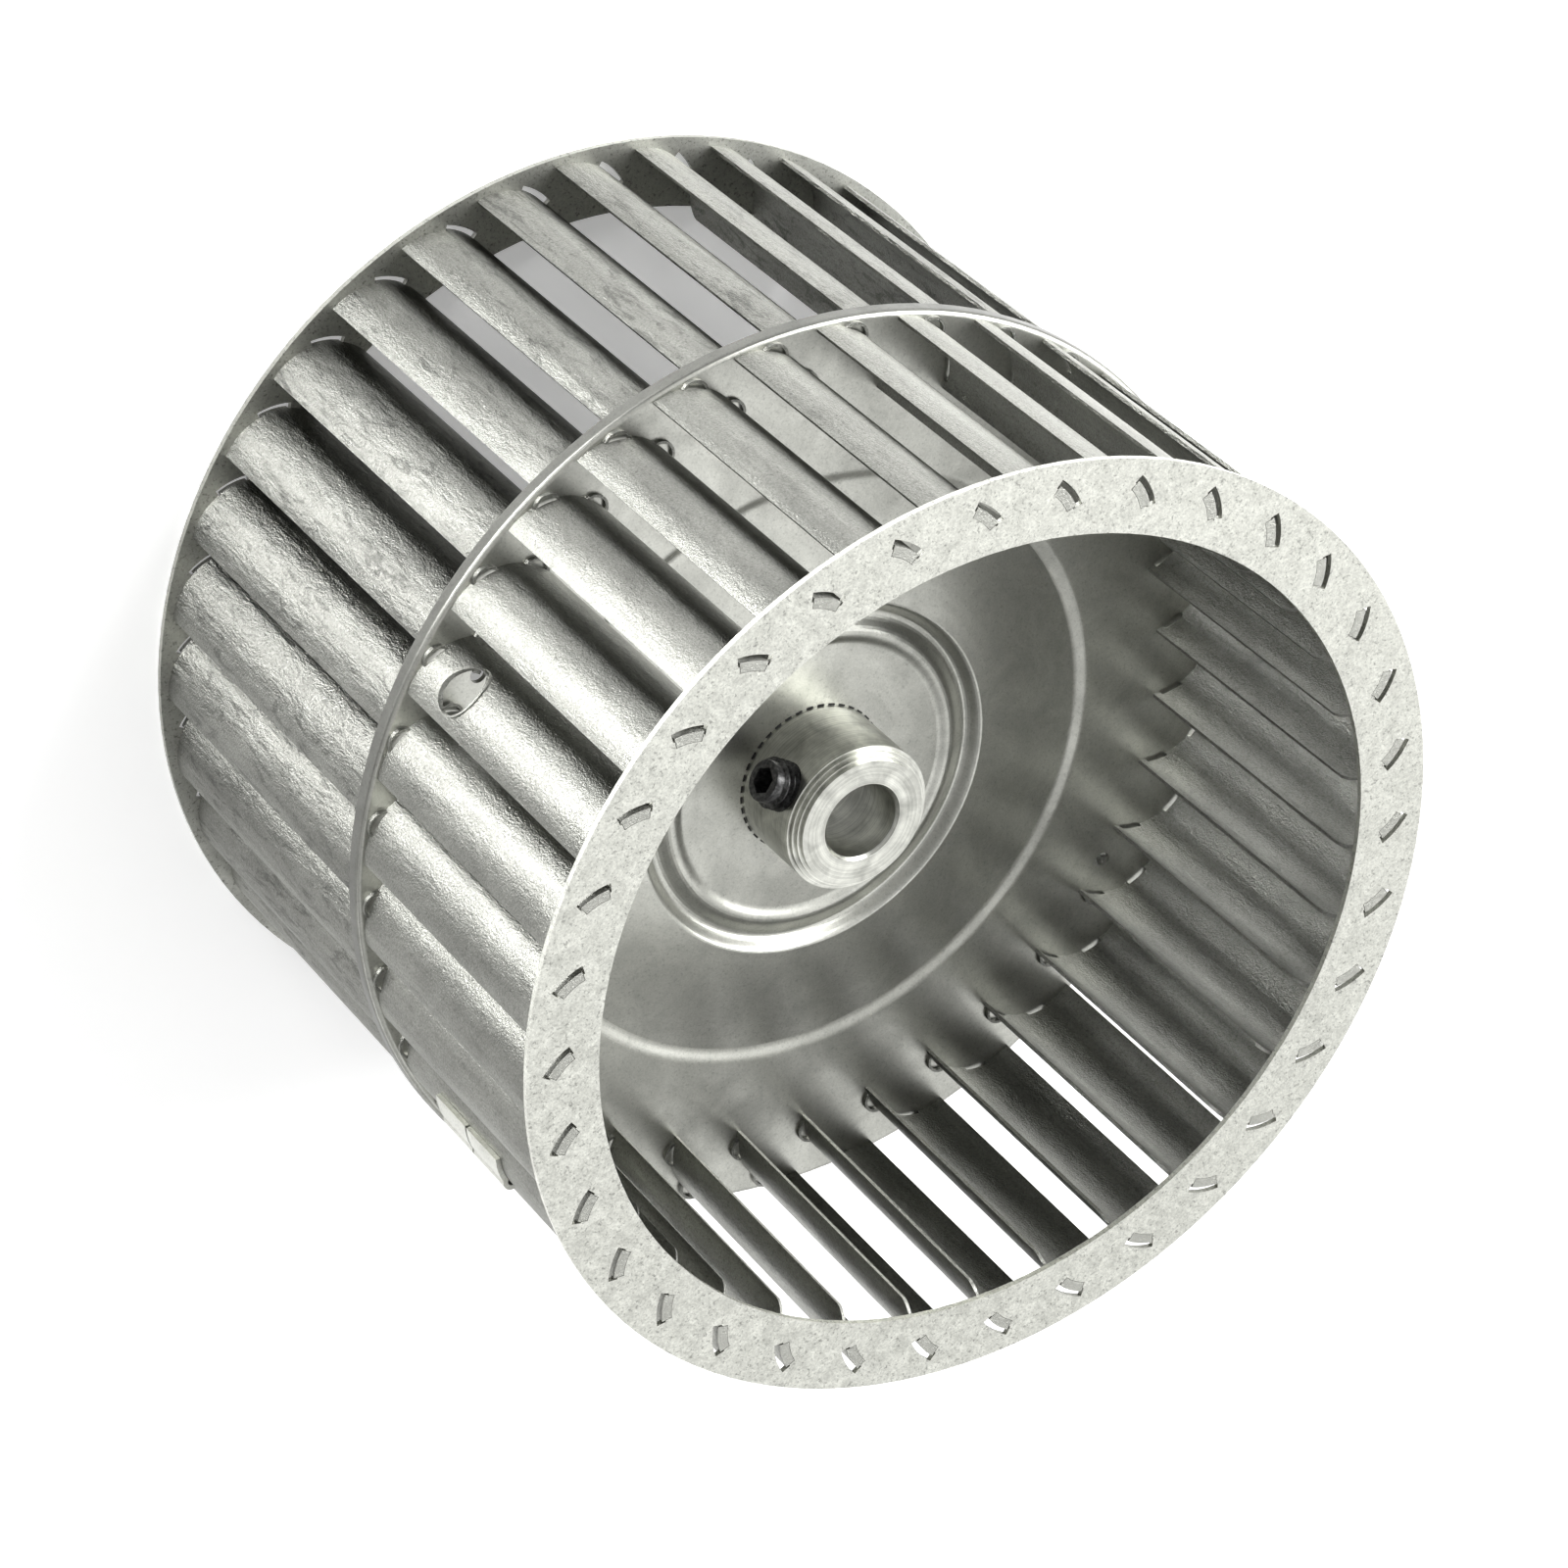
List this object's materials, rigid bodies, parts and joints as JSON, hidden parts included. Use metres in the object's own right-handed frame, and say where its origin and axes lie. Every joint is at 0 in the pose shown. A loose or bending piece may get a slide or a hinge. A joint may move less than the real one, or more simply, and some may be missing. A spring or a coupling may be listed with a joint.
{
  "type": "blower wheel",
  "caption": "Double inlet centrifugal blower wheel in galvanised sheet steel: forward curved blades between end rings and a pressed centre plate, with a riveted hub and a set screw.",
  "frame": {"origin": "on the shaft axis, in the plane of the rear ring's outer face, on which the wheel stands", "axes": "+Z along the shaft axis towards the hub's face; +X through the set screw, its key hole and one pilot hole"},
  "size_m": [0.16, 0.16, 0.125],
  "materials": {
    "ring_sheet": "satin",
    "plate_sheet": "satin",
    "blade_sheet": "satin",
    "turned_steel": "satin",
    "black_oxide": "satin",
    "clip_steel": "satin"
  },
  "bodies": {
    "wheel": {"front_ring": "ring_sheet", "rear_ring": "ring_sheet", "centre_plate": "plate_sheet", "hub": "turned_steel", "balance_clip_1": "clip_steel", "balance_clip_2": "clip_steel", "front_blade_01": "blade_sheet", "front_blade_02": "blade_sheet", "front_blade_03": "blade_sheet", "front_blade_04": "blade_sheet", "front_blade_05": "blade_sheet", "front_blade_06": "blade_sheet", "front_blade_07": "blade_sheet", "front_blade_08": "blade_sheet", "front_blade_09": "blade_sheet", "front_blade_10": "blade_sheet", "front_blade_11": "blade_sheet", "front_blade_12": "blade_sheet", "front_blade_13": "blade_sheet", "front_blade_14": "blade_sheet", "front_blade_15": "blade_sheet", "front_blade_16": "blade_sheet", "front_blade_17": "blade_sheet", "front_blade_18": "blade_sheet", "front_blade_19": "blade_sheet", "front_blade_20": "blade_sheet", "front_blade_21": "blade_sheet", "front_blade_22": "blade_sheet", "front_blade_23": "blade_sheet", "front_blade_24": "blade_sheet", "front_blade_25": "blade_sheet", "front_blade_26": "blade_sheet", "front_blade_27": "blade_sheet", "front_blade_28": "blade_sheet", "front_blade_29": "blade_sheet", "front_blade_30": "blade_sheet", "front_blade_31": "blade_sheet", "front_blade_32": "blade_sheet", "front_blade_33": "blade_sheet", "front_blade_34": "blade_sheet", "rear_blades_01": "blade_sheet", "rear_blades_02": "blade_sheet", "rear_blades_03": "blade_sheet", "rear_blades_04": "blade_sheet", "rear_blades_05": "blade_sheet", "rear_blades_06": "blade_sheet", "rear_blades_07": "blade_sheet", "rear_blades_08": "blade_sheet", "rear_blades_09": "blade_sheet", "rear_blades_10": "blade_sheet", "rear_blades_11": "blade_sheet", "rear_blades_12": "blade_sheet", "rear_blades_13": "blade_sheet", "rear_blades_14": "blade_sheet", "rear_blades_15": "blade_sheet", "rear_blades_16": "blade_sheet", "rear_blades_17": "blade_sheet"},
    "screw": {"set_screw": "black_oxide"}
  },
  "joints": [
    {"name": "set_screw_travel", "type": "slide", "parent": "wheel", "child": "screw", "axis": [1, 0, 0], "range_m": [-0.002, 0.004]}
  ]
}
